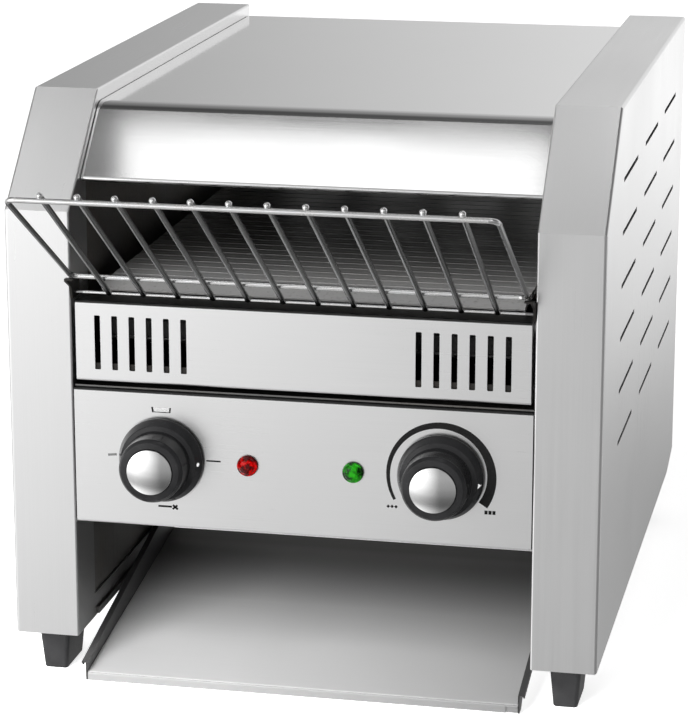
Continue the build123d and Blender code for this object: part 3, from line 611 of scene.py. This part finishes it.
def capped_lathe(made, centre, outline, segments=128):
    """A solid turned about a line parallel to Y, its first and last rings closed by flat discs."""
    rings = []
    for radius, depth in outline:
        ring = []
        for index in range(segments):
            angle = 2 * math.pi * index / segments
            x = centre.x + radius * MM * math.cos(angle)
            z = centre.z + radius * MM * math.sin(angle)
            ring.append(made.verts.new((x, FRONT + depth * MM, z)))
        rings.append(ring)
    for ring, following in zip(rings, rings[1:]):
        for index in range(segments):
            after = (index + 1) % segments
            made.faces.new((ring[index], ring[after], following[after], following[index]))
    made.faces.new(rings[0])
    made.faces.new(rings[-1])


# ---------------------------------------------------------------- knobs with soft edges and domed caps
KNOB_OUTLINE = (
    (3.05, -1.6),
    (26.45, -1.6),
    (26.45, -3.2),
    (23.6, -9.6),
    (20.6, -10.2),
    (20.0, -25.5),
    (18.2, -28.0),
    (14.9, -28.35),
    (14.5, -28.35),
    (14.5, -26.4),
    (3.05, -26.4),
)
CAP_RADIUS = 14.2
CAP_EDGE = -29.3
CAP_RISE = 1.7

for knob_name, body_name, joint_name in (
    ("mode_knob", "mode_dial", "mode_knob_turn"),
    ("speed_knob", "speed_dial", "speed_knob_turn"),
):
    middle = Vector(joints[joint_name]["pos_m"])
    made = bmesh.new()
    lathe(made, middle, softened(KNOB_OUTLINE, 0.5))
    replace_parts(finish_mesh(made, knob_name + "_shell", "knob_black", body_name), knob_name)
    made = bmesh.new()
    cap_outline = [(CAP_RADIUS - 0.1, -26.5), (CAP_RADIUS, -26.8), (CAP_RADIUS, CAP_EDGE + 0.3)]
    for step in range(13):
        radius = (CAP_RADIUS - 0.25) * math.cos(math.radians(7.0 * step))
        cap_outline.append((radius, CAP_EDGE - CAP_RISE * (1 - (radius / CAP_RADIUS) ** 2)))
    capped_lathe(made, middle, cap_outline)
    cap_name = knob_name + "_cap"
    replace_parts(finish_mesh(made, cap_name + "_dome", cap_name, body_name), cap_name)


# ---------------------------------------------------------------- faceted lamp lenses
def jewel(name, node, material):
    """A lens with a round rim and a crown of triangular facets."""
    low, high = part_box(node)
    middle = (low + high) / 2
    made = bmesh.new()
    rim = ((4.8, 2.3), (4.8, -0.35), (6.3, -0.45), (6.5, -1.0), (6.1, -1.9), (5.5, -2.2))
    capped_lathe(made, middle, rim, 72)
    rings = []
    for radius, depth, lag in ((5.5, -2.15, 0.0), (4.3, -3.5, 0.5), (2.4, -4.3, 0.0)):
        ring = []
        for index in range(10):
            angle = 2 * math.pi * (index + lag) / 10
            x = middle.x + radius * MM * math.cos(angle)
            z = middle.z + radius * MM * math.sin(angle)
            ring.append(made.verts.new((x, FRONT + depth * MM, z)))
        rings.append(ring)
    for ring, following, lag in ((rings[0], rings[1], 0), (rings[1], rings[2], 1)):
        for index in range(10):
            after = (index + 1) % 10
            made.faces.new((ring[index], ring[after], following[(index + lag) % 10]))
            made.faces.new((ring[after], following[(after + lag) % 10], following[(index + lag) % 10]))
    made.faces.new(rings[0])
    made.faces.new(rings[2])
    piece = finish_mesh(made, name, material, "housing", smooth_angle=18.0)
    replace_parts(piece, node)


jewel("pilot_jewel_red", "pilot_lens_red", "lens_red")
jewel("pilot_jewel_green", "pilot_lens_green", "lens_green")


# ---------------------------------------------------------------- printed marks and pointers
INK = 0.06 * MM


def knob_axis(name):
    """The centre line of a knob, on the front face of the control panel."""
    place_of_joint = joints[name]["pos_m"]
    return Vector((place_of_joint[0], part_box("control_panel")[0].y, place_of_joint[2]))


def printed_shape(made, centre, outline):
    """A thin raised print on the panel; the outline is (x, z) in millimetres from the centre."""
    front = [made.verts.new((centre.x + x * MM, centre.y - INK, centre.z + z * MM)) for x, z in outline]
    back = [made.verts.new((centre.x + x * MM, centre.y, centre.z + z * MM)) for x, z in outline]
    made.faces.new(front)
    made.faces.new(back[::-1])
    for index in range(len(outline)):
        after = (index + 1) % len(outline)
        made.faces.new((front[index], back[index], back[after], front[after]))


def printed_strip(made, centre, outer, inner):
    """A thin raised print between two lines of points."""
    lines = []
    for line in (outer, inner):
        for depth in (-INK, 0.0):
            y = centre.y + depth
            lines.append([made.verts.new((centre.x + x * MM, y, centre.z + z * MM)) for x, z in line])
    around = (lines[0], lines[1], lines[3], lines[2])
    for index in range(len(outer) - 1):
        for side in range(4):
            near = around[side]
            far = around[(side + 1) % 4]
            made.faces.new((near[index], far[index], far[index + 1], near[index + 1]))
    for end in (0, -1):
        made.faces.new([line[end] for line in around])


def bar(centre_x, centre_z, length, thickness, turn=0.0):
    """A rectangle outline in millimetres."""
    corners = []
    for x, z in ((-1, -1), (1, -1), (1, 1), (-1, 1)):
        point = Vector((x * length / 2, z * thickness / 2)).to_3d()
        point.rotate(Matrix.Rotation(math.radians(turn), 3, "Z"))
        corners.append((centre_x + point.x, centre_z + point.y))
    return corners


def tapered_arc(start, end, outer, inner_start, inner_end, steps=64):
    """An arc from one angle to another whose inner edge moves outwards or inwards on the way."""
    edge = []
    inner = []
    for index in range(steps + 1):
        share = index / steps
        angle = math.radians(start + (end - start) * share)
        radius = inner_start + (inner_end - inner_start) * share
        edge.append((outer * math.cos(angle), outer * math.sin(angle)))
        inner.append((radius * math.cos(angle), radius * math.sin(angle)))
    return edge, inner


mode_centre = knob_axis("mode_knob_turn")
speed_centre = knob_axis("speed_knob_turn")

dark_marks = bmesh.new()
printed_shape(dark_marks, mode_centre, bar(32.6, 0.6, 9.0, 1.0))
printed_shape(dark_marks, mode_centre, bar(1.5, -30.4, 8.6, 1.2))
printed_shape(dark_marks, mode_centre, bar(7.8, -30.6, 4.0, 1.2, 40.0))
printed_shape(dark_marks, mode_centre, bar(8.0, -30.6, 4.0, 1.3, -40.0))
printed_shape(dark_marks, mode_centre, bar(-5.5, 31.2, 1.1, 3.4, 8.0))
printed_shape(dark_marks, mode_centre, bar(0.0, 29.8, 10.0, 0.5))
printed_shape(dark_marks, mode_centre, bar(5.5, 31.2, 1.0, 3.2, -8.0))
for offset in (-2.4, 0.0, 2.4):
    printed_shape(dark_marks, speed_centre, bar(-30.0 + offset, -21.0, 1.6, 1.6, 45.0))
    printed_shape(dark_marks, speed_centre, bar(30.0 + offset, -21.0, 1.9, 2.4))
printed_strip(dark_marks, speed_centre, *tapered_arc(210.0, -33.0, 33.7, 31.9, 27.4, 96))
finish_mesh(dark_marks, "panel_print_black", "ink_black", "housing")

pale_marks = bmesh.new()
printed_shape(pale_marks, mode_centre, bar(0.0, 31.2, 10.5, 3.0))
finish_mesh(pale_marks, "panel_print_grey", "ink_grey", "housing")
left_dash = bmesh.new()
printed_shape(left_dash, mode_centre, bar(-31.6, 0.9, 5.6, 1.5, 6.0))
finish_mesh(left_dash, "panel_dash", "ink_dark_grey", "housing")


BEVEL_LOW = Vector((26.45, -3.2))
BEVEL_HIGH = Vector((23.6, -9.6))


def on_bevel(middle, angle, share, aside=0.0, lift=0.06):
    """A point on the bevel of a knob: share runs from its rim inwards, aside along the rim in millimetres."""
    flat = BEVEL_LOW.lerp(BEVEL_HIGH, share)
    slope = (BEVEL_HIGH - BEVEL_LOW).normalized()
    radius = flat.x - slope.y * lift
    depth = flat.y + slope.x * lift
    turn = math.radians(angle) + aside / radius
    return Vector((
        middle.x + radius * MM * math.cos(turn),
        FRONT + depth * MM,
        middle.z + radius * MM * math.sin(turn),
    ))


def bevel_mark(name, joint_name, body, angle, outline):
    """A painted pointer on a knob's bevel; the outline is (aside, share)."""
    middle = Vector(joints[joint_name]["pos_m"])
    made = bmesh.new()
    top = [made.verts.new(on_bevel(middle, angle, share, aside)) for aside, share in outline]
    low = [made.verts.new(on_bevel(middle, angle, share, aside, -0.05)) for aside, share in outline]
    made.faces.new(top)
    made.faces.new(low[::-1])
    for index in range(len(outline)):
        after = (index + 1) % len(outline)
        made.faces.new((top[index], low[index], low[after], top[after]))
    finish_mesh(made, name, "ink_white", body)


dot = []
for index in range(24):
    angle = 2 * math.pi * index / 24
    dot.append((1.25 * math.cos(angle), 0.6 + 1.25 / 7.0 * math.sin(angle)))
bevel_mark("mode_pointer", "mode_knob_turn", "mode_dial", 0.0, dot)
bevel_mark("speed_pointer", "speed_knob_turn", "speed_dial", -5.0, ((-1.5, 0.85), (1.5, 0.85), (0.0, 0.3)))


# ---------------------------------------------------------------- studio
def soft_light(name, location, aim, size, radiance):
    """A soft rectangular light of a given radiance that points at a place."""
    lamp = bpy.data.lights.new(name, "AREA")
    lamp.shape = "RECTANGLE"
    lamp.size, lamp.size_y = size
    lamp.energy = radiance * size[0] * size[1] * math.pi
    holder = bpy.data.objects.new(name, lamp)
    bpy.context.scene.collection.objects.link(holder)
    holder.location = location
    holder.rotation_euler = (Vector(aim) - Vector(location)).to_track_quat("-Z", "Y").to_euler()
    return holder


def flat_box(name, x_range, y_range, height, radiance):
    """A level light box overhead, which the hood and the slopes of the columns reflect."""
    middle = ((x_range[0] + x_range[1]) / 2, (y_range[0] + y_range[1]) / 2, height)
    size = (x_range[1] - x_range[0], y_range[1] - y_range[0])
    holder = soft_light(name, middle, (middle[0], middle[1], 0.0), size, radiance)
    holder.rotation_euler = (0.0, 0.0, 0.0)
    return holder


def make_floor():
    """A plain pale floor. Mirror-like rays pass it, so the steel shows the studio's own gradient."""
    made = bmesh.new()
    bmesh.ops.create_circle(made, cap_ends=True, segments=96, radius=14.0)
    mesh = bpy.data.meshes.new("floor")
    made.to_mesh(mesh)
    made.free()
    floor_material, tree, shader = new_material("floor_pale")
    cloud = stretched_noise(tree, (2.0, 2.0, 2.0), detail=2.0)
    tree.links.new(
        blend_colours(tree, remap(tree, cloud, 0.0, 1.0), grey(0.93), grey(0.95)),
        shader.inputs["Base Color"],
    )
    shader.inputs["Roughness"].default_value = 0.9
    shader.inputs["Emission Color"].default_value = grey(1.0)
    shader.inputs["Emission Strength"].default_value = 0.7
    mesh.materials.append(floor_material)
    floor = bpy.data.objects.new("floor", mesh)
    bpy.context.scene.collection.objects.link(floor)
    floor.visible_glossy = False


def fill_ramp(ramp, stops):
    """Sets the stops of a colour ramp: (angle in degrees, brightness)."""
    elements = ramp.color_ramp.elements
    while len(elements) > 1:
        elements.remove(elements[-1])
    elements[0].position = 0.0
    for index, (angle, level) in enumerate(stops):
        element = elements[0] if index == 0 else elements.new(angle / 360.0 + 0.5)
        element.color = grey(level)
    ramp.color_ramp.interpolation = "EASE"


def make_world():
    """The studio round the object. Angles go from the back over the top (90) to the front (180)."""
    world = bpy.data.worlds.new("studio")
    bpy.context.scene.world = world
    world.use_nodes = True
    tree = world.node_tree
    seen = tree.nodes["Background"]
    direction = add_node(tree, "ShaderNodeTexCoord").outputs["Generated"]
    part = add_node(tree, "ShaderNodeSeparateXYZ", {"Vector": direction}).outputs
    angle = maths(tree, "ARCTAN2", part["Z"], part["Y"])
    turn = maths(tree, "ADD", maths(tree, "DIVIDE", angle, 2 * math.pi), 0.5)
    ramp = add_node(tree, "ShaderNodeValToRGB", {"Fac": turn})
    fill_ramp(ramp, STUDIO_GRADIENT)
    front_side = remap(tree, part["X"], *FRONT_LEFT_TO_RIGHT, from_low=-0.5, from_high=-0.03)
    back_side = remap(tree, part["X"], *BACK_LEFT_TO_RIGHT, from_low=-0.5, from_high=0.0)
    is_front = remap(tree, part["Y"], 1.0, 0.0, from_low=-0.3, from_high=0.1)
    side = add_node(tree, "ShaderNodeMix", {0: is_front, 2: back_side, 3: front_side}).outputs[0]
    far_left = remap(tree, part["X"], FAR_LEFT, 0.0, from_low=-0.62, from_high=-0.42)
    far_right = remap(tree, part["X"], 1.0, 0.8, from_low=0.5, from_high=0.75)
    side = maths(tree, "MULTIPLY", maths(tree, "MAXIMUM", side, far_left), far_right)
    tree.links.new(
        blend_colours(tree, 1.0, ramp.outputs["Color"], side, mode="MULTIPLY"),
        seen.inputs["Color"],
    )
    plain = add_node(tree, "ShaderNodeBackground", {"Color": grey(1.0), "Strength": 1.0})
    camera_ray = add_node(tree, "ShaderNodeLightPath").outputs["Is Camera Ray"]
    mixed = add_node(tree, "ShaderNodeMixShader", {0: camera_ray, 1: seen.outputs[0], 2: plain.outputs[0]})
    tree.links.new(mixed.outputs[0], tree.nodes["World Output"].inputs["Surface"])


STUDIO_GRADIENT = (
    (-180, 1.05),
    (-168, 0.85),
    (-160, 0.61),
    (-152, 0.34),
    (-146, 0.26),
    (-136, 0.75),
    (-118, 0.6),
    (-90, 0.35),
    (-60, 0.55),
    (-28, 0.85),
    (-20, 0.34),
    (-17, 0.3),
    (-13.5, 0.74),
    (-10, 1.2),
    (0, 0.86),
    (14, 0.84),
    (30, 0.68),
    (55, 0.4),
    (78, 0.12),
    (96, 0.14),
    (104, 0.22),
    (118, 0.4),
    (150, 0.65),
    (168, 0.85),
    (180, 1.05),
)
FRONT_LEFT_TO_RIGHT = (2.15, 0.42)
FAR_LEFT = 1.1
BACK_LEFT_TO_RIGHT = (0.05, 1.13)

make_floor()
make_world()
flat_box("hood_box", (-0.465, -0.012), (-0.5, -0.298), 1.5, 1.3)
flat_box("left_slope_box", (-0.86, -0.57), (-0.5, -0.2), 1.5, 1.8)
flat_box("right_slope_box", (0.03, 0.4), (-0.31, -0.1), 1.5, 2.1)
key = soft_light("key", (-1.3, -2.2, 0.5), (0.0, -0.1, 0.2), (1.1, 0.9), 1.0)
key.visible_diffuse = False
soft_light("fill", (0.9, -2.4, 1.6), (0.0, 0.0, 0.2), (1.2, 1.0), 1.2)
entry = soft_light("entry", (-0.75, -1.9, 1.35), (0.0, -0.1, 0.15), (1.2, 2.2), 14.0)
entry.visible_glossy = False

# ---------------------------------------------------------------- camera
lens = bpy.data.cameras.new("camera")
camera = bpy.data.objects.new("camera", lens)
bpy.context.scene.collection.objects.link(camera)
camera.location = (369.2 * MM, FRONT - 1611.4 * MM, 654.7 * MM)
camera.rotation_euler = (math.radians(90.0 - 14.884), 0.0, math.radians(11.978))
lens.sensor_width = 36.0
lens.lens = 142.13
lens.clip_start = 0.05
lens.clip_end = 50.0
bpy.context.scene.camera = camera

bpy.context.scene.view_settings.view_transform = "Standard"
bpy.context.scene.view_settings.look = "None"
